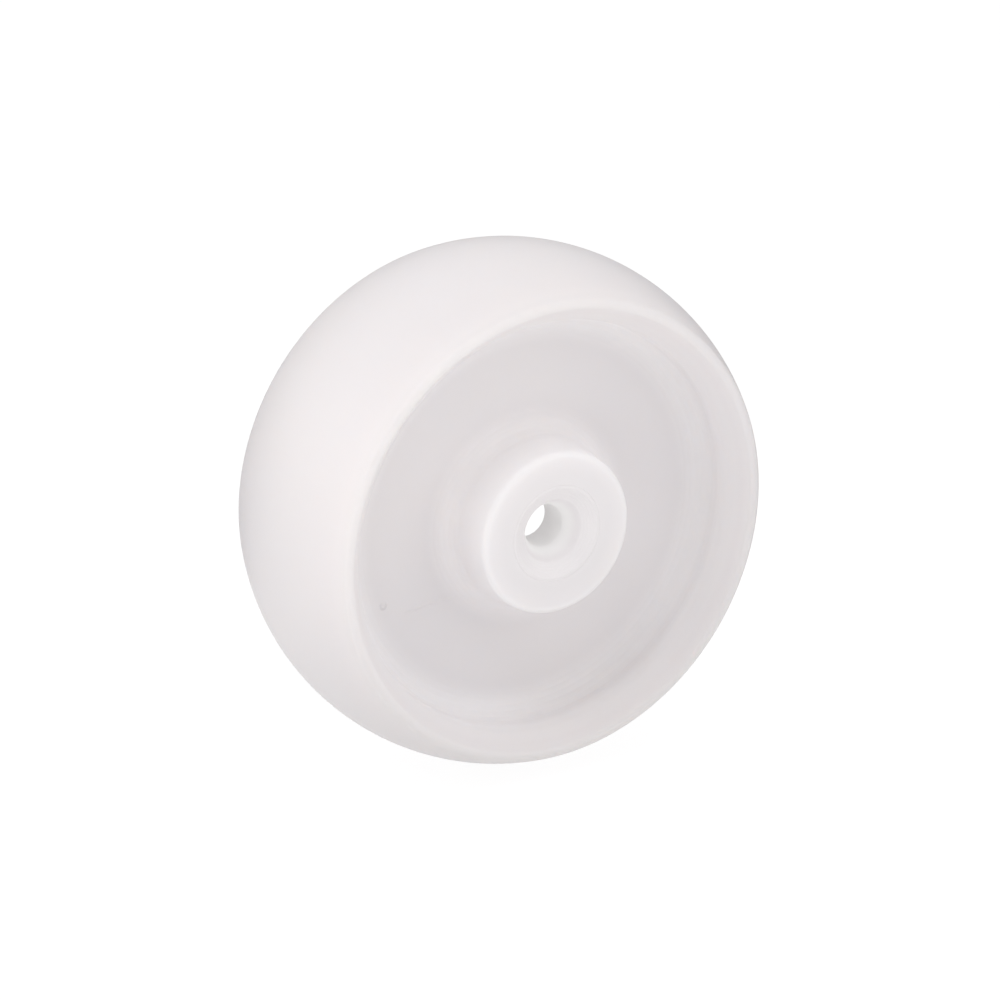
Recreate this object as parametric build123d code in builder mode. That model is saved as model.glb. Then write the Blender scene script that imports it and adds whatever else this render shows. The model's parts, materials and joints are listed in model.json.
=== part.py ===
from build123d import *
import os
from math import atan2, cos, degrees, radians, sin, sqrt

# A moulded plastic wheel with a crowned tread, a dished side and a short hub on one side only.
# The axle line is the Y axis, the hub faces -Y, and the origin is the middle of the wheel.
# Millimetres, +Z up. Every outline is drawn as (distance from the axle line, place along Y).
os.makedirs("parts", exist_ok=True)

# Driving dimensions
wheel_diameter = 100.0
wheel_width = 40.4
crown_radius = 45.0
lip_round = 1.3
flare_angle = 40.0
flare_round = 1.5
dish_radius = 40.1
web_front = -9.0
web_thickness = 4.0
dish_corner = 4.5
back_dish_draft = 1.0
back_corner = 4.5

hub_radius = 15.9
hub_draft = 0.6
hub_edge_round = 1.1
hub_root_round = 4.0

bush_radius = 9.45
bush_edge_break = 0.12
seat_shoulder_radius = 8.6
seat_shoulder_depth = 1.0
bore_radius = 4.1
bore_front = -15.4
bore_back = -9.3
mouth_radius = 6.2
mouth_depth = 1.45
mouth_rim_radius = 8.9
mouth_round = 0.8
throat_round = 1.0

# Worked out from them
hub_face = -wheel_width / 2
web_back = web_front + web_thickness
crown_centre = wheel_diameter / 2 - crown_radius
lip_along = wheel_width / 2 - lip_round
lip_reach = sqrt((crown_radius - lip_round) ** 2 - lip_along**2)
lip_centre = crown_centre + lip_reach
crown_half_angle = degrees(atan2(lip_along, lip_reach))
flare_centre = dish_radius + flare_round
flare_normal = 180.0 - flare_angle
lip_sweep = flare_normal - crown_half_angle

# The flare starts where its slope, touching the lip round, turns straight along the axle line.
lip_slope_offset = lip_centre * cos(radians(flare_angle)) - lip_along * sin(radians(flare_angle)) - lip_round
flare_slope_offset = flare_centre * cos(radians(flare_angle)) - flare_round - lip_slope_offset
flare_along = flare_slope_offset / sin(radians(flare_angle))
back_dish_floor_radius = dish_radius - back_dish_draft
bush_back = web_back - seat_shoulder_depth
bush_back_radius = bore_radius + (bush_back - bore_back)


def corner(outline, radius, along):
    """The outline's corner nearest to a place given by radius and by position along the axle."""
    return outline.vertices().sort_by_distance((radius, along))[0]


# Wheel body: crowned rim, web and hub in one moulding, with a stepped seat for the bush.
with BuildPart() as wheel_body:
    with BuildSketch(Plane.XY) as body_outline:
        with BuildLine():
            crown = CenterArc((crown_centre, 0), crown_radius, -crown_half_angle, 2 * crown_half_angle)
            front_lip = CenterArc((lip_centre, -lip_along), lip_round, -crown_half_angle, -lip_sweep)
            front_flare = CenterArc((flare_centre, -flare_along), flare_round, -flare_normal, -flare_angle)
            back_lip = CenterArc((lip_centre, lip_along), lip_round, crown_half_angle, lip_sweep)
            back_flare = CenterArc((flare_centre, flare_along), flare_round, flare_normal, flare_angle)
            Line(front_lip @ 1, front_flare @ 0)
            Line(back_lip @ 1, back_flare @ 0)
            Polyline(
                front_flare @ 1,
                (dish_radius, web_front),
                (hub_radius + hub_draft, web_front),
                (hub_radius, hub_face),
                (bush_radius, hub_face),
                (bush_radius, bush_back),
                (seat_shoulder_radius, bush_back),
                (seat_shoulder_radius, web_back),
                (back_dish_floor_radius, web_back),
                back_flare @ 1,
            )
        make_face()
        fillet(corner(body_outline, dish_radius, web_front), dish_corner)
        fillet(corner(body_outline, hub_radius + hub_draft, web_front), hub_root_round)
        fillet(corner(body_outline, hub_radius, hub_face), hub_edge_round)
        fillet(corner(body_outline, back_dish_floor_radius, web_back), back_corner)
        chamfer(corner(body_outline, bush_radius, hub_face), bush_edge_break)
    revolve(axis=Axis.Y)
wheel_body.part.label = "wheel_body"
export_step(wheel_body.part, "parts/wheel_body.step")

# Hub bush: a plain bearing bush pushed in from the hub side until it meets the seat's shoulder.
# A shallow trumpet mouth leads in to the bore, and a countersink opens it again at the back.
with BuildPart() as hub_bush:
    with BuildSketch(Plane.XY) as bush_outline:
        with BuildLine():
            Polyline(
                (bush_radius, hub_face),
                (mouth_rim_radius, hub_face),
                (mouth_radius, hub_face + mouth_depth),
                (bore_radius, bore_front),
                (bore_radius, bore_back),
                (bush_back_radius, bush_back),
                (bush_radius, bush_back),
                close=True,
            )
        make_face()
        fillet(corner(bush_outline, mouth_radius, hub_face + mouth_depth), mouth_round)
        fillet(corner(bush_outline, bore_radius, bore_front), throat_round)
        chamfer(corner(bush_outline, bush_radius, hub_face), bush_edge_break)
    revolve(axis=Axis.Y)
hub_bush.part.label = "hub_bush"
export_step(hub_bush.part, "parts/hub_bush.step")
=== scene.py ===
import json
import math

import bmesh
import bpy
from bpy.props import FloatProperty, FloatVectorProperty, IntProperty, PointerProperty
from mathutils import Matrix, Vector

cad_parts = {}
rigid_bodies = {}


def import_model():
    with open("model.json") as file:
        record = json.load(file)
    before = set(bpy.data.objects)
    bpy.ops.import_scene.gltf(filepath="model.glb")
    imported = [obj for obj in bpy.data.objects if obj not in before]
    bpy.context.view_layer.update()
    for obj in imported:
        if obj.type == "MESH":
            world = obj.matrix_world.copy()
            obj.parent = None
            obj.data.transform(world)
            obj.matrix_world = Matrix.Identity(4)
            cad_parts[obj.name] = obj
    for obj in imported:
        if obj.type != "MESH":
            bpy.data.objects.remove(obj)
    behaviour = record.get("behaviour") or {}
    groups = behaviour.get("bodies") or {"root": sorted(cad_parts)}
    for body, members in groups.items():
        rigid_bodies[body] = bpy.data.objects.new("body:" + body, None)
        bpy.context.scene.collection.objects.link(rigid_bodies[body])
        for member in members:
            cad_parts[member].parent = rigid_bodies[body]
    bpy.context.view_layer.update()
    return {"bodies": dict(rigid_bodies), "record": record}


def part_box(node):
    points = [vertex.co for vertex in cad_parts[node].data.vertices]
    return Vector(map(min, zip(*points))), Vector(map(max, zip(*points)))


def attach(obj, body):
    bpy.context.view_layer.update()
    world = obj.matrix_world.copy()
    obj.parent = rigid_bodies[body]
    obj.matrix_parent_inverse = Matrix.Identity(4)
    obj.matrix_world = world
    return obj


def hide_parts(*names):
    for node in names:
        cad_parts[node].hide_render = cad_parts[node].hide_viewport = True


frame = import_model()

bl_info = {
    "name": "Nylon Hub Wheel",
    "version": (1, 0, 0),
    "blender": (4, 5, 0),
    "location": "3D View > Sidebar > Wheel",
    "description": "Builds a moulded nylon wheel with a crowned tread, its hub bush, and a stage for it",
    "category": "Object",
}

# The wheel turns about Y, its hub faces -Y, and the origin is the middle of the wheel.
# An outline is a list of (distance from the axle line, place along Y) points, in metres.

BODY_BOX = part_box("wheel_body")
BUSH_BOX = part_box("hub_bush")
BODY = next(iter(frame["bodies"]))
AXLE_BORE = next(m for m in frame["record"]["mounts"] if m["name"] == "axle_bore")

MM = 0.001
WHEEL_RADIUS = BODY_BOX[1].z
HALF_WIDTH = BODY_BOX[1].y
HUB_FACE = BODY_BOX[0].y
BUSH_RADIUS = BUSH_BOX[1].x
BUSH_BACK = BUSH_BOX[1].y
BORE_RADIUS = AXLE_BORE["dims"]["r_mm"] * MM

# How finely the round stretches of the outlines are cut.
CROWN_STEPS = 84
LIP_STEPS = 18
FLARE_STEPS = 16
CORNER_STEPS = 6
MOUTH_STEPS = 8
POINTS_PER_RING = 10

# Marks that moulding leaves on the web. A place is (x, z), a span is where a fade starts and ends,
# and heights are in millimetres.
FRONT_SPAN = (-8.5 * MM, -7.5 * MM)
GATE_PLACE = (-31.0 * MM, -11.9 * MM)
NIB_RADIUS = 0.9 * MM
NIB_HEIGHT = 0.30
FLOW_CENTRE = (-18.0 * MM, -41.0 * MM)
FLOW_RADIUS = 27.8 * MM
FLOW_WIDTH = 0.45 * MM
FLOW_HEIGHT = 0.07
FLOW_LEFT_SPAN = (-28.5 * MM, -25.5 * MM)
FLOW_RIGHT_SPAN = (-16.5 * MM, -13 * MM)
FLOW_TOP_SPAN = (-9 * MM, -8 * MM)
EJECTOR_CIRCLE = 27 * MM
EJECTOR_ANGLES = (0.5, 2.07, 3.64, 5.21)
EJECTOR_PLACES = [(EJECTOR_CIRCLE * math.cos(a), EJECTOR_CIRCLE * math.sin(a)) for a in EJECTOR_ANGLES]
EJECTOR_RADIUS = 3 * MM
EJECTOR_WIDTH = 0.35 * MM
EJECTOR_DEPTH = 0.04

# Colour zones of the nylon by distance from the axle line. The bore and face zones hold painted light, and
# the edge and lip zones hold painted shade. A band has a middle and a reach.
BORE_PAINTED_LIGHT_SPAN = (4.5 * MM, 6 * MM)
OPAQUE_SPAN = (9.5 * MM, 14 * MM)
FACE_PAINTED_LIGHT_SPAN = (14 * MM, 16 * MM)
EDGE_PAINTED_SHADE_BAND = (41 * MM, 1.6 * MM)
LIP_PAINTED_SHADE_BAND = (44.6 * MM, 1.9 * MM)
RIM_BLUR = 1.5 * MM

# What the nylon's skin and the light inside it do everywhere.
NYLON_IOR = 1.53
REACH_BY_COLOUR = (1.0, 0.95, 0.9)
GRAIN_ROUGHNESS = 0.12
SCUFF_ROUGHNESS = 0.05
SCUFFS_PER_CLOUD = 4
SCUFF_SPAN = (0.55, 0.75)

WHITE = (1, 1, 1, 1)
GLOW_TINT = (1, 0.992, 0.995, 1)
FLOOR_LIGHT_TINT = (1, 0.99, 0.988, 1)
NEAR_FLOOR_SPAN = (0.09, 0.13)
SPECKLE_SCALE = 300
SPECKLE_TONE = 0.985

# The surround is a sum of broad soft glows, each given by azimuth, elevation and strength.
# Azimuth 0 is the hub's side and 90 is +X.
GLOWS = [
    (45, 12, 1.628), (135, 12, 0.06), (225, 12, 0.983), (270, 12, 1.433), (0, 45, 0.644),
    (60, 45, 0.596), (120, 45, 1.22), (180, 45, 0.56), (240, 45, 0.889),
]
GLOW_FALLOFF = 6
# Near lights: name, place in metres and power in watts.
NEAR_LIGHTS = [
    ("left_light", (-0.25, -0.15, 0.05), 0.039),
    ("top_light", (-0.10, -0.10, 0.26), 0.163),
    ("back_light", (-0.28, 0.10, 0.15), 0.040),
]
NEAR_LIGHT_SIZE = 0.12


# ---------------------------------------------------------------- outlines and lathe work

def arc(centre, radius, start, sweep, steps):
    """Points along an arc; the angles are in degrees, 0 pointing away from the axle line."""
    angles = [math.radians(start + sweep * i / steps) for i in range(steps + 1)]
    return [(centre[0] + radius * math.cos(a), centre[1] + radius * math.sin(a)) for a in angles]


def rounded_corner(before, corner, after, radius, steps=CORNER_STEPS):
    """The corner between two straight stretches, taken off by an arc that touches both."""
    here = Vector(corner)
    towards = (Vector(before) - here).normalized()
    away = (Vector(after) - here).normalized()
    half = towards.angle(away) / 2
    centre = here + (towards + away).normalized() * (radius / math.sin(half))
    first = here + towards * (radius / math.tan(half)) - centre
    last = here + away * (radius / math.tan(half)) - centre
    turn = math.atan2(first.x * last.y - first.y * last.x, first.dot(last))
    start = math.atan2(first.y, first.x)
    return arc(centre, radius, math.degrees(start), math.degrees(turn), steps)


def rounded_outline(corners):
    """A chain of (radius, along, rounding) corners as points; the two ends are never rounded."""
    places = [(r, y) for r, y, _ in corners]
    points = [places[0]]
    for i in range(1, len(corners) - 1):
        rounding = corners[i][2]
        if rounding:
            points += rounded_corner(places[i - 1], places[i], places[i + 1], rounding)
        else:
            points.append(places[i])
    return points + [places[-1]]


def with_support(points, longest, margin):
    """Cuts long stretches up, and adds a point just inside each end so that roundings shade cleanly."""
    out = []
    for i, start in enumerate(points):
        a, b = Vector(start), Vector(points[(i + 1) % len(points)])
        out.append(tuple(a))
        length = (b - a).length
        if length < 4 * margin:
            continue
        cuts = max(1, math.ceil((length - 2 * margin) / longest))
        for k in range(cuts + 1):
            out.append(tuple(a.lerp(b, (margin + (length - 2 * margin) * k / cuts) / length)))
    return out


def lathe(name, outline, segments):
    """A closed ring-shaped mesh: the closed outline turned once about the Y axis."""
    mesh = bpy.data.meshes.new(name)
    count = len(outline)
    turns = [2 * math.pi * s / segments for s in range(segments)]
    verts = [(r * math.cos(t), y, r * math.sin(t)) for t in turns for r, y in outline]
    faces = []
    for s in range(segments):
        here, there = s * count, ((s + 1) % segments) * count
        for i in range(count):
            j = (i + 1) % count
            faces.append((here + i, here + j, there + j, there + i))
    mesh.from_pydata(verts, [], faces)
    shell = bmesh.new()
    shell.from_mesh(mesh)
    bmesh.ops.recalc_face_normals(shell, faces=shell.faces)
    shell.to_mesh(mesh)
    shell.free()
    mesh.shade_smooth()
    piece = bpy.data.objects.new(name, mesh)
    bpy.context.scene.collection.objects.link(piece)
    return piece


# ---------------------------------------------------------------- shader expressions

class Wire:
    """A number in a material. Arithmetic on it adds the Math nodes that work it out."""

    def __init__(self, recipe, socket):
        self.recipe = recipe
        self.socket = socket

    def _math(self, operation, first, second):
        return self.recipe.node("ShaderNodeMath", {"operation": operation}, {0: first, 1: second})

    def __add__(self, other):
        return self._math("ADD", self, other)

    def __radd__(self, other):
        return self._math("ADD", other, self)

    def __sub__(self, other):
        return self._math("SUBTRACT", self, other)

    def __rsub__(self, other):
        return self._math("SUBTRACT", other, self)

    def __mul__(self, other):
        return self._math("MULTIPLY", self, other)

    def __truediv__(self, other):
        return self._math("DIVIDE", self, other)

    def __pow__(self, other):
        return self._math("POWER", self, other)


class Recipe:
    """The nodes of a material or a world, added one call at a time."""

    def __init__(self, owner):
        self.owner = owner
        owner.use_nodes = True
        self.tree = owner.node_tree
        self.tree.nodes.clear()

    def node(self, kind, settings, inputs, output=0):
        """Adds a node, makes its settings, fills its sockets, and gives back one output."""
        made = self.tree.nodes.new(kind)
        for key, value in settings.items():
            setattr(made, key, value)
        for key, value in inputs.items():
            if isinstance(value, Wire):
                self.tree.links.new(value.socket, made.inputs[key])
            else:
                made.inputs[key].default_value = value
        return Wire(self, made.outputs[output]) if made.outputs else None

    def place(self):
        """Where a point is on the wheel, in metres."""
        return self.node("ShaderNodeTexCoord", {}, {}, "Object")

    def noise(self, place, scale, detail, roughness=0.5):
        """Soft random variation, from 0 to 1, about 0.5."""
        return self.node(
            "ShaderNodeTexNoise",
            {"noise_dimensions": "3D"},
            {"Vector": place, "Scale": scale, "Detail": detail, "Roughness": roughness},
            "Fac",
        )

    def fade(self, value, low, high):
        """0 below low, 1 above high, and smooth between."""
        return self.node(
            "ShaderNodeMapRange",
            {"interpolation_type": "SMOOTHSTEP"},
            {"Value": value, "From Min": low, "From Max": high},
            "Result",
        )

    def blend(self, amount, first, second, how="MIX"):
        """Mixes two colours."""
        return self.node(
            "ShaderNodeMix",
            {"data_type": "RGBA", "blend_type": how},
            {"Factor": amount, 6: first, 7: second},
            2,
        )

    def parts(self, place):
        """The x, y and z of a place."""
        return [self.node("ShaderNodeSeparateXYZ", {}, {"Vector": place}, axis) for axis in "XYZ"]

    def near(self, value, middle, reach):
        """1 within 0.3 of the reach from the middle, falling smoothly to 0 at the reach."""
        offset = self.node("ShaderNodeMath", {"operation": "ABSOLUTE"}, {0: value - middle})
        return 1 - self.fade(offset, 0.3 * reach, reach)

    def positive(self, value):
        """The value, or 0 where it is negative."""
        return self.node("ShaderNodeMath", {"operation": "MAXIMUM"}, {0: value, 1: 0})


def distance_from(x, z, centre):
    """How far a point of the web is from a centre given by its x and z."""
    return ((x - centre[0]) * (x - centre[0]) + (z - centre[1]) * (z - centre[1])) ** 0.5


def moulding_marks(recipe, x, y, z):
    """Height, in millimetres, of the gate's nib, a flow line, and ejector pin rings on the back."""
    front = 1 - recipe.fade(y, *FRONT_SPAN)
    nib = recipe.near(distance_from(x, z, GATE_PLACE), 0, NIB_RADIUS) * NIB_HEIGHT
    line = recipe.near(distance_from(x, z, FLOW_CENTRE), FLOW_RADIUS, FLOW_WIDTH)
    extent = recipe.fade(x, *FLOW_LEFT_SPAN) * (1 - recipe.fade(x, *FLOW_RIGHT_SPAN))
    lower = 1 - recipe.fade(z, *FLOW_TOP_SPAN)
    height = front * (nib + line * extent * lower * FLOW_HEIGHT)
    for centre in EJECTOR_PLACES:
        ring = recipe.near(distance_from(x, z, centre), EJECTOR_RADIUS, EJECTOR_WIDTH)
        height = height - (1 - front) * ring * EJECTOR_DEPTH
    return height


def natural_nylon(name, look):
    """Milky natural polyamide, greyer on the web and the tread. Painted light makes it whitest at the hub,
    its face, the dish's wall and inside the bore, and painted shade darkens the rim's lips and the dish's
    mouth.
    """
    recipe = Recipe(bpy.data.materials.new(name))
    place = recipe.place()
    x, y, z = recipe.parts(place)
    radius = (x * x + z * z) ** 0.5
    # Painted light: the hub's flank and root are drawn lighter than the web, standing in for the light that
    # falls on them.
    hub = 1 - recipe.fade(radius, look.hub_painted_light_reach, look.hub_painted_light_reach + look.zone_blur)
    # Painted light: the hub's face and the bush are drawn lighter than the web.
    face = 1 - recipe.fade(radius, *FACE_PAINTED_LIGHT_SPAN)
    # Painted light: the dish's wall and its corner are drawn lighter than the web, where light from the left
    # falls on them.
    wall = recipe.fade(radius, look.wall_painted_light_start, look.wall_painted_light_start + look.zone_blur)
    rim = recipe.fade(radius, look.rim_start, look.rim_start + RIM_BLUR)
    # Painted shade: the rim's lips are drawn darker than the rim, holding down the light that falls on them.
    lip = recipe.near(radius, *LIP_PAINTED_SHADE_BAND)
    # Painted shade: the rounding between the dish's mouth and its wall is drawn darker, hiding the light line
    # along that edge.
    edge = recipe.near(radius, *EDGE_PAINTED_SHADE_BAND)
    # Painted light: the inside of the bore is drawn near white, standing in for light that shines through the
    # hub into it.
    bore = 1 - recipe.fade(radius, *BORE_PAINTED_LIGHT_SPAN)
    cloud = recipe.noise(place, look.cloud_scale, 3)
    grain = recipe.noise(place, look.grain_scale, 4, 0.6)
    scuff = recipe.fade(recipe.noise(place, look.cloud_scale * SCUFFS_PER_CLOUD, 5, 0.65), *SCUFF_SPAN)
    zones = [
        (hub, look.hub_colour_with_painted_light),
        (face, look.face_colour_with_painted_light),
        (wall, look.wall_colour_with_painted_light),
        (rim, look.rim_colour),
        (lip, look.lip_colour_with_painted_shade),
        (edge, look.edge_colour_with_painted_shade),
        (bore, look.bore_colour_with_painted_light),
    ]
    bulk = (*look.web_colour, 1)
    for zone, zone_colour in zones:
        bulk = recipe.blend(zone, bulk, (*zone_colour, 1))
    tint = recipe.blend(cloud, (*look.warm_tint, 1), (*look.cool_tint, 1))
    colour = recipe.blend(1.0, bulk, tint, "MULTIPLY")
    roughness = look.roughness + (grain - 0.5) * GRAIN_ROUGHNESS + scuff * SCUFF_ROUGHNESS
    height = grain * look.grain_height + moulding_marks(recipe, x, y, z)
    bump = recipe.node("ShaderNodeBump", {}, {"Strength": 1.0, "Distance": MM, "Height": height}, "Normal")
    soft, firm = (
        recipe.node(
            "ShaderNodeBsdfPrincipled",
            {"subsurface_method": "RANDOM_WALK"},
            {
                "Base Color": colour,
                "Roughness": roughness,
                "Normal": bump,
                "IOR": NYLON_IOR,
                "Subsurface Weight": translucency,
                "Subsurface Radius": REACH_BY_COLOUR,
                "Subsurface Scale": look.light_reach,
            },
        )
        for translucency in (look.translucency, 0)
    )
    # The plastic is drawn opaque round the bush. Light inside it would be trapped where the two
    # pieces touch, and would draw a dark ring there.
    core = 1 - recipe.fade(radius, *OPAQUE_SPAN)
    skin = recipe.node("ShaderNodeMixShader", {}, {0: core, 1: soft, 2: firm})
    recipe.node("ShaderNodeOutputMaterial", {}, {"Surface": skin})
    return recipe.owner


# ---------------------------------------------------------------- sizes and looks a user may change

class WheelSizes(bpy.types.PropertyGroup):
    """Shape of the one-piece wheel body."""

    crown_radius: FloatProperty(
        name="Crown radius", description="Radius of the tread's bulge across its width",
        default=45 * MM, subtype="DISTANCE", unit="LENGTH")
    lip_round: FloatProperty(
        name="Lip rounding", description="Rounding where the tread turns in to the dish",
        default=1.3 * MM, subtype="DISTANCE", unit="LENGTH")
    flare_angle: FloatProperty(
        name="Flare angle", description="Slope of the dish's mouth, from the axle line",
        default=math.radians(40), subtype="ANGLE", unit="ROTATION")
    flare_round: FloatProperty(
        name="Flare rounding", description="Rounding between the dish's mouth and its wall",
        default=4 * MM, subtype="DISTANCE", unit="LENGTH")
    dish_radius: FloatProperty(
        name="Dish radius", description="Radius of the dish's wall on the hub side",
        default=40.0 * MM, subtype="DISTANCE", unit="LENGTH")
    dish_corner: FloatProperty(
        name="Dish corner", description="Rounding where the dish's wall meets the web",
        default=4.5 * MM, subtype="DISTANCE", unit="LENGTH")
    back_dish_radius: FloatProperty(
        name="Back dish radius", description="Radius of the floor of the open back",
        default=39.1 * MM, subtype="DISTANCE", unit="LENGTH")
    back_corner: FloatProperty(
        name="Back corner", description="Rounding where the back's wall meets the web",
        default=4.5 * MM, subtype="DISTANCE", unit="LENGTH")
    web_front: FloatProperty(
        name="Web front", description="Place along Y of the web's hub-side face",
        default=-9 * MM, subtype="DISTANCE", unit="LENGTH")
    web_back: FloatProperty(
        name="Web back", description="Place along Y of the web's other face",
        default=-5 * MM, subtype="DISTANCE", unit="LENGTH")
    hub_radius: FloatProperty(
        name="Hub radius", description="Radius of the hub's end face",
        default=15.9 * MM, subtype="DISTANCE", unit="LENGTH")
    hub_draft: FloatProperty(
        name="Hub draft", description="How much wider the hub is where it meets the web",
        default=0.6 * MM, subtype="DISTANCE", unit="LENGTH")
    hub_edge: FloatProperty(
        name="Hub edge rounding", description="Rounding of the hub's outer edge",
        default=1.1 * MM, subtype="DISTANCE", unit="LENGTH")
    hub_root: FloatProperty(
        name="Hub root rounding", description="Rounding where the hub meets the web",
        default=4 * MM, subtype="DISTANCE", unit="LENGTH")
    seat_shoulder: FloatProperty(
        name="Seat shoulder radius", description="Radius of the hole behind the bush",
        default=8.6 * MM, subtype="DISTANCE", unit="LENGTH")
    shoulder_round: FloatProperty(
        name="Shoulder rounding", description="Rounding where the hole behind the bush meets the web",
        default=0.3 * MM, subtype="DISTANCE", unit="LENGTH")
    segments: IntProperty(
        name="Segments", description="Faces around the wheel", default=336, min=64)


class BushSizes(bpy.types.PropertyGroup):
    """Shape of the bush pressed into the hub."""

    edge_break: FloatProperty(
        name="Edge break", description="Bevel on the bush's outer edge and on its seat",
        default=0.05 * MM, subtype="DISTANCE", unit="LENGTH")
    mouth_rim: FloatProperty(
        name="Mouth rim radius", description="Radius at which the trumpet mouth starts",
        default=8.9 * MM, subtype="DISTANCE", unit="LENGTH")
    mouth_radius: FloatProperty(
        name="Mouth radius", description="Radius of the trumpet mouth's inner edge",
        default=6.2 * MM, subtype="DISTANCE", unit="LENGTH")
    mouth_depth: FloatProperty(
        name="Mouth depth", description="How far in from the hub face that edge lies",
        default=1.45 * MM, subtype="DISTANCE", unit="LENGTH")
    mouth_round: FloatProperty(
        name="Mouth rounding", description="Rounding of the trumpet mouth's inner edge",
        default=0.8 * MM, subtype="DISTANCE", unit="LENGTH")
    throat_round: FloatProperty(
        name="Throat rounding", description="Rounding where the straight bore starts",
        default=1 * MM, subtype="DISTANCE", unit="LENGTH")
    bore_front: FloatProperty(
        name="Bore front", description="Place along Y where the straight bore starts",
        default=-15.4 * MM, subtype="DISTANCE", unit="LENGTH")
    bore_back: FloatProperty(
        name="Bore back", description="Place along Y where the straight bore ends",
        default=-9.3 * MM, subtype="DISTANCE", unit="LENGTH")
    ring_pitch: FloatProperty(
        name="Ring pitch", description="Distance between the fine turned rings of the mouth",
        default=0.62 * MM, subtype="DISTANCE", unit="LENGTH")
    ring_depth: FloatProperty(
        name="Ring depth", description="Depth of the fine turned rings",
        default=0.035 * MM, subtype="DISTANCE", unit="LENGTH")
    segments: IntProperty(
        name="Segments", description="Faces around the bush", default=256, min=64)


class NylonLook(bpy.types.PropertyGroup):
    """Colour and skin of the natural polyamide, with painted light and painted shade in some of its colour
    zones.
    """

    rim_colour: FloatVectorProperty(
        name="Rim colour", description="Colour of the rim and its tread",
        default=(0.80, 0.773, 0.779), subtype="COLOR", min=0, max=1)
    web_colour: FloatVectorProperty(
        name="Web colour", description="Colour of the thin web",
        default=(0.797, 0.774, 0.783), subtype="COLOR", min=0, max=1)
    # Painted light: the hub's flank and root are drawn lighter than the web.
    hub_colour_with_painted_light: FloatVectorProperty(
        name="Hub colour", description="Colour of the hub's flank and root",
        default=(0.915, 0.888, 0.893), subtype="COLOR", min=0, max=1)
    # Painted light: the hub's face and the bush are drawn lighter than the web.
    face_colour_with_painted_light: FloatVectorProperty(
        name="Face colour", description="Colour of the hub's face and of the bush",
        default=(0.875, 0.845, 0.85), subtype="COLOR", min=0, max=1)
    # Painted light: the dish's wall and its corner are drawn lighter than the web.
    wall_colour_with_painted_light: FloatVectorProperty(
        name="Wall colour", description="Colour of the dish's wall and its corner",
        default=(0.89, 0.87, 0.876), subtype="COLOR", min=0, max=1)
    # Painted shade: the rim's lips are drawn darker than the rim.
    lip_colour_with_painted_shade: FloatVectorProperty(
        name="Lip colour", description="Colour of the rim's lips",
        default=(0.775, 0.75, 0.753), subtype="COLOR", min=0, max=1)
    # Painted shade: the rounding between the dish's mouth and its wall is drawn darker.
    edge_colour_with_painted_shade: FloatVectorProperty(
        name="Edge colour", description="Colour of the rounding between the dish's mouth and its wall",
        default=(0.815, 0.792, 0.797), subtype="COLOR", min=0, max=1)
    # Painted light: the inside of the bore is drawn near white.
    bore_colour_with_painted_light: FloatVectorProperty(
        name="Bore colour", description="Colour inside the bore",
        default=(0.985, 0.975, 0.965), subtype="COLOR", min=0, max=1)
    # Where the hub's painted light starts to fade into the web's colour.
    hub_painted_light_reach: FloatProperty(
        name="Hub reach", description="Radius at which the hub's colour starts to give way to the web's",
        default=17 * MM, subtype="DISTANCE", unit="LENGTH")
    # Where the web's colour starts to give way to the wall's painted light.
    wall_painted_light_start: FloatProperty(
        name="Wall start", description="Radius at which the web's colour starts to give way to the wall's",
        default=33 * MM, subtype="DISTANCE", unit="LENGTH")
    rim_start: FloatProperty(
        name="Rim start", description="Radius at which the wall's colour starts to give way to the rim's",
        default=40.3 * MM, subtype="DISTANCE", unit="LENGTH")
    zone_blur: FloatProperty(
        name="Zone blur", description="Width over which one colour gives way to the next",
        default=5.5 * MM, subtype="DISTANCE", unit="LENGTH")
    warm_tint: FloatVectorProperty(
        name="Warm tint", description="Tint of the milkier clouds",
        default=(1.0, 0.99, 0.97), subtype="COLOR", min=0, max=1)
    cool_tint: FloatVectorProperty(
        name="Cool tint", description="Tint of the clearer clouds",
        default=(0.965, 0.975, 0.995), subtype="COLOR", min=0, max=1)
    cloud_scale: FloatProperty(
        name="Cloud scale", description="Clouds per metre in the plastic", default=22)
    grain_scale: FloatProperty(
        name="Grain scale", description="Grains per metre on the skin", default=1400)
    grain_height: FloatProperty(
        name="Grain height", description="Height of the skin's grain in millimetres", default=0.007)
    roughness: FloatProperty(
        name="Roughness", description="Satin of the skin", default=0.48, min=0, max=1)
    translucency: FloatProperty(
        name="Translucency", description="Share of the light that enters the plastic",
        default=0.8, min=0, max=1)
    light_reach: FloatProperty(
        name="Light reach", description="How far light spreads inside the plastic",
        default=5 * MM, subtype="DISTANCE", unit="LENGTH")


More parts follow.
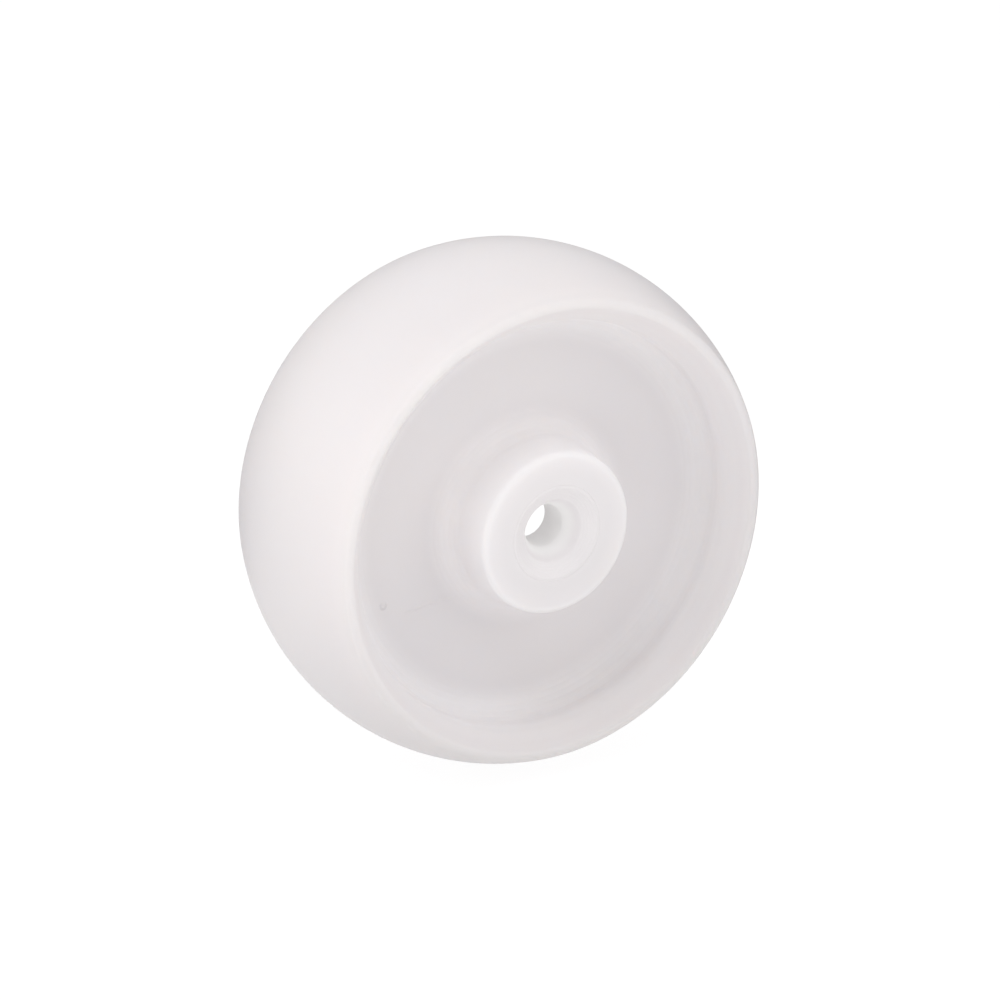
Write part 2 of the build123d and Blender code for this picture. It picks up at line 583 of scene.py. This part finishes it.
class StageLook(bpy.types.PropertyGroup):
    """Floor, lights and camera."""

    floor_colour: FloatVectorProperty(
        name="Floor colour", description="Colour of the floor",
        default=(0.2, 0.2, 0.2), subtype="COLOR", min=0, max=1)
    floor_size: FloatProperty(
        name="Floor size", description="Length of the floor's side",
        default=12, subtype="DISTANCE", unit="LENGTH")
    floor_shine: FloatProperty(
        name="Floor shine", description="Brightness of the floor, apart from the light that falls on it",
        default=0.86)
    floor_near: FloatProperty(
        name="Near floor light", description="Light that the floor close to the wheel gives to it",
        default=0.8)
    floor_side: FloatProperty(
        name="Side floor light",
        description="Light that the floor gives from both sides of the camera's line",
        default=0.576)
    floor_slant: FloatProperty(
        name="Floor slant",
        description="How much more of it comes from the camera's side than from both sides",
        default=0.957)
    surround_strength: FloatProperty(
        name="Surround strength", description="Brightness of all the surround's glows together", default=0.87)
    near_strength: FloatProperty(
        name="Near strength", description="Brightness of all the near lights together", default=0.88)
    lens: FloatProperty(
        name="Lens", description="Focal length in millimetres", default=250, min=1)
    azimuth: FloatProperty(
        name="Azimuth", description="Turn of the camera about the wheel, 0 looking along +Y",
        default=math.radians(-31.64), subtype="ANGLE", unit="ROTATION")
    elevation: FloatProperty(
        name="Elevation", description="Height of the camera above the horizon",
        default=math.radians(21.28), subtype="ANGLE", unit="ROTATION")
    frame_width: FloatProperty(
        name="Frame width", description="Width of the picture at the wheel",
        default=188.5 * MM, subtype="DISTANCE", unit="LENGTH")


# ---------------------------------------------------------------- pieces

def half_rim(sizes, side):
    """The crown's centre and half angle, and one side's lip and flare: -1 is the hub's, 1 the back."""
    flare = math.degrees(sizes.flare_angle)
    slope = Vector((math.cos(sizes.flare_angle), -math.sin(sizes.flare_angle)))
    crown_centre = WHEEL_RADIUS - sizes.crown_radius
    lip_along = HALF_WIDTH - sizes.lip_round
    lip_reach = math.sqrt((sizes.crown_radius - sizes.lip_round) ** 2 - lip_along**2)
    lip_centre = crown_centre + lip_reach
    crown_half = math.degrees(math.atan2(lip_along, lip_reach))
    flare_centre = sizes.dish_radius + sizes.flare_round
    lip_offset = slope.dot((lip_centre, lip_along)) - sizes.lip_round
    flare_along = (flare_centre * slope.x - sizes.flare_round - lip_offset) / -slope.y
    lip = arc((lip_centre, side * lip_along), sizes.lip_round,
              side * crown_half, side * (180 - flare - crown_half), LIP_STEPS)
    mouth = arc((flare_centre, side * flare_along), sizes.flare_round,
                side * (180 - flare), side * flare, FLARE_STEPS)
    return crown_centre, crown_half, lip + mouth


def body_outline(sizes, bush):
    """The closed outline of the wheel body, from the tread round by the hub side to the back."""
    crown_centre, crown_half, front = half_rim(sizes, -1)
    back = half_rim(sizes, 1)[2]
    crown = arc((crown_centre, 0), sizes.crown_radius, crown_half, -2 * crown_half, CROWN_STEPS)
    inside = rounded_outline([
        (*front[-1], 0),
        (sizes.dish_radius, sizes.web_front, sizes.dish_corner),
        (sizes.hub_radius + sizes.hub_draft, sizes.web_front, sizes.hub_root),
        (sizes.hub_radius, HUB_FACE, sizes.hub_edge),
        (BUSH_RADIUS + bush.edge_break, HUB_FACE, 0),
        (BUSH_RADIUS, HUB_FACE + bush.edge_break, 0),
        (BUSH_RADIUS, BUSH_BACK, 0),
        (sizes.seat_shoulder, BUSH_BACK, 0),
        (sizes.seat_shoulder, sizes.web_back, sizes.shoulder_round),
        (sizes.back_dish_radius, sizes.web_back, sizes.back_corner),
        (*back[-1], 0),
    ])
    outline = crown[:-1] + front + inside[1:-1] + back[::-1][:-1]
    return with_support(outline, longest=2 * MM, margin=0.12 * MM)


def bush_outline(sizes):
    """The closed outline of the bush, with fine turned rings in its trumpet mouth."""
    mouth_along = HUB_FACE + sizes.mouth_depth
    back_radius = BORE_RADIUS + (BUSH_BACK - sizes.bore_back)
    rim = Vector((sizes.mouth_rim, HUB_FACE))
    edge = Vector((sizes.mouth_radius, mouth_along))
    front, back = (BORE_RADIUS, sizes.bore_front), (BORE_RADIUS, sizes.bore_back)
    corner = rounded_corner(rim, edge, front, sizes.mouth_round, MOUTH_STEPS)
    throat = rounded_corner(edge, front, back, sizes.throat_round, MOUTH_STEPS)
    run = Vector(corner[0]) - rim
    deeper = Vector((run.y, -run.x)).normalized()
    steps = int(run.length / (sizes.ring_pitch / POINTS_PER_RING))
    rings = []
    for i in range(steps):
        share = i / steps
        taper = min(1, 6 * share, 6 * (1 - share))  # the rings fade over a sixth of the run at each end
        wave = math.sin(2 * math.pi * share * run.length / sizes.ring_pitch)
        rings.append(tuple(rim + run * share + deeper * sizes.ring_depth * taper * (1 + wave) / 2))
    rest = [
        back,
        (back_radius, BUSH_BACK),
        (BUSH_RADIUS, BUSH_BACK),
        (BUSH_RADIUS, HUB_FACE + sizes.edge_break),
        (BUSH_RADIUS - sizes.edge_break, HUB_FACE),
    ]
    return with_support(rings + corner + throat + rest, longest=1 * MM, margin=0.05 * MM)


class WHEEL_OT_body(bpy.types.Operator):
    """Turn the one-piece wheel body and give it the natural nylon"""

    bl_idname = "wheel.body"
    bl_label = "Wheel body"

    def execute(self, context):
        sizes = context.scene.wheel_sizes
        piece = lathe("wheel_shell", body_outline(sizes, context.scene.bush_sizes), sizes.segments)
        look = context.scene.nylon_look
        piece.data.materials.append(natural_nylon("natural_nylon", look))
        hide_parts("wheel_body")
        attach(piece, BODY)
        return {"FINISHED"}


class WHEEL_OT_bush(bpy.types.Operator):
    """Turn the bush that the axle bolt goes through, with its fine rings"""

    bl_idname = "wheel.bush"
    bl_label = "Hub bush"

    def execute(self, context):
        sizes = context.scene.bush_sizes
        piece = lathe("bush_shell", bush_outline(sizes), sizes.segments)
        look = context.scene.nylon_look
        piece.data.materials.append(natural_nylon("bush_nylon", look))
        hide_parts("hub_bush")
        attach(piece, BODY)
        return {"FINISHED"}


class WHEEL_OT_stage(bpy.types.Operator):
    """Lay the pale floor, hang the soft lights and set the camera"""

    bl_idname = "wheel.stage"
    bl_label = "Stage"

    def execute(self, context):
        look = context.scene.stage_look
        floor(look)
        surround(look)
        for name, place, power in NEAR_LIGHTS:
            soft_light(name, place, NEAR_LIGHT_SIZE, power * look.near_strength)
        camera(look)
        context.scene.view_settings.view_transform = "Standard"
        return {"FINISHED"}


def floor(look):
    """A large pale floor that the tread stands on.

    The camera sees it shine evenly. The wheel gets its light from a disc under it and, further out,
    more from the camera's side than from the others and least from behind.
    """
    half = look.floor_size / 2
    mesh = bpy.data.meshes.new("floor")
    level = BODY_BOX[0].z
    mesh.from_pydata([(-half, -half, level), (half, -half, level), (half, half, level), (-half, half, level)],
                     [], [(0, 1, 2, 3)])
    plane = bpy.data.objects.new("floor", mesh)
    bpy.context.scene.collection.objects.link(plane)
    recipe = Recipe(bpy.data.materials.new("floor_paper"))
    place = recipe.place()
    speckle = recipe.noise(place, SPECKLE_SCALE, 3)
    speck = (*[c * SPECKLE_TONE for c in look.floor_colour], 1)
    tone = recipe.blend(speckle, speck, (*look.floor_colour, 1))
    paper = recipe.node("ShaderNodeBsdfDiffuse", {}, {"Color": tone})
    shine = recipe.node("ShaderNodeEmission", {}, {"Color": WHITE, "Strength": look.floor_shine})
    shown = recipe.node("ShaderNodeAddShader", {}, {0: paper, 1: shine})
    x, y, _ = recipe.parts(place)
    reach = (x * x + y * y) ** 0.5
    front = towards(look.azimuth, 0)
    slant = (x * front.x + y * front.y) / (reach + MM)  # a millimetre more, so it never divides by 0
    brightest = look.floor_side + look.floor_slant
    far = look.floor_side / brightest + slant * (look.floor_slant / brightest)
    away = recipe.fade(reach, *NEAR_FLOOR_SPAN)
    share = away * recipe.positive(far) + (1 - away) * (look.floor_near / brightest)
    unlit = recipe.node("ShaderNodeEmission", {}, {"Color": WHITE, "Strength": 0})
    bright = recipe.node("ShaderNodeEmission", {}, {"Color": FLOOR_LIGHT_TINT, "Strength": brightest})
    given = recipe.node("ShaderNodeMixShader", {}, {0: share, 1: unlit, 2: bright})
    seen = recipe.node("ShaderNodeLightPath", {}, {}, "Is Camera Ray")
    both = recipe.node("ShaderNodeMixShader", {}, {0: seen, 1: given, 2: shown})
    recipe.node("ShaderNodeOutputMaterial", {}, {"Surface": both})
    mesh.materials.append(recipe.owner)


def towards(azimuth, elevation):
    """The direction with this azimuth and elevation in radians, azimuth 0 being -Y."""
    return Vector((
        math.sin(azimuth) * math.cos(elevation),
        -math.cos(azimuth) * math.cos(elevation),
        math.sin(elevation),
    ))


def surround(look):
    """A surround made of soft glows for the wheel, and plain white for the camera."""
    world = bpy.data.worlds.new("surround")
    recipe = Recipe(world)
    way = recipe.node("ShaderNodeTexCoord", {}, {}, "Generated")
    strength = 0
    for azimuth, elevation, power in GLOWS:
        aim = towards(math.radians(azimuth), math.radians(elevation))
        facing = recipe.node("ShaderNodeVectorMath", {"operation": "DOT_PRODUCT"}, {0: way, 1: aim}, "Value")
        strength = strength + recipe.positive(facing) ** GLOW_FALLOFF * (power * look.surround_strength)
    seen = recipe.node("ShaderNodeLightPath", {}, {}, "Is Camera Ray")
    final = strength + seen * (1 - strength)
    tint = recipe.blend(seen, GLOW_TINT, WHITE)
    sky = recipe.node("ShaderNodeBackground", {}, {"Color": tint, "Strength": final})
    recipe.node("ShaderNodeOutputWorld", {}, {"Surface": sky})
    bpy.context.scene.world = world


def soft_light(name, place, size, power):
    """A square soft light that faces the wheel."""
    lamp = bpy.data.lights.new(name, "AREA")
    lamp.shape = "SQUARE"
    lamp.size = size
    lamp.energy = power
    holder = bpy.data.objects.new(name, lamp)
    holder.location = place
    holder.rotation_mode = "QUATERNION"
    holder.rotation_quaternion = (-Vector(place)).to_track_quat("-Z", "Y")
    holder.visible_camera = False
    bpy.context.scene.collection.objects.link(holder)


def camera(look):
    """A long lens that looks at the middle of the wheel from above the hub side."""
    data = bpy.data.cameras.new("camera")
    data.lens = look.lens
    distance = look.frame_width * look.lens / data.sensor_width
    back = towards(look.azimuth, look.elevation)
    holder = bpy.data.objects.new("camera", data)
    holder.location = back * distance
    holder.rotation_mode = "QUATERNION"
    holder.rotation_quaternion = (-back).to_track_quat("-Z", "Y")
    data.clip_end = 100
    bpy.context.scene.collection.objects.link(holder)
    bpy.context.scene.camera = holder


class WHEEL_PT_parts(bpy.types.Panel):
    """Lists the wheel's pieces and their sizes"""

    bl_idname = "WHEEL_PT_parts"
    bl_label = "Nylon Hub Wheel"
    bl_space_type = "VIEW_3D"
    bl_region_type = "UI"
    bl_category = "Wheel"

    def draw(self, context):
        for operator, group in PANEL_ROWS:
            box = self.layout.box()
            box.operator(operator)
            settings = getattr(context.scene, group)
            for key in settings.__annotations__:
                box.prop(settings, key)


PANEL_ROWS = [
    ("wheel.body", "wheel_sizes"),
    ("wheel.body", "nylon_look"),
    ("wheel.bush", "bush_sizes"),
    ("wheel.stage", "stage_look"),
]
GROUPS = {
    "wheel_sizes": WheelSizes,
    "bush_sizes": BushSizes,
    "nylon_look": NylonLook,
    "stage_look": StageLook,
}
CLASSES = [*GROUPS.values(), WHEEL_OT_body, WHEEL_OT_bush, WHEEL_OT_stage, WHEEL_PT_parts]


def register():
    for kind in CLASSES:
        bpy.utils.register_class(kind)
    for name, kind in GROUPS.items():
        setattr(bpy.types.Scene, name, PointerProperty(type=kind))


def unregister():
    for name in GROUPS:
        delattr(bpy.types.Scene, name)
    for kind in reversed(CLASSES):
        bpy.utils.unregister_class(kind)


def main():
    """Builds the wheel and its stage."""
    register()
    bpy.ops.wheel.body()
    bpy.ops.wheel.bush()
    bpy.ops.wheel.stage()


if __name__ == "__main__":
    main()
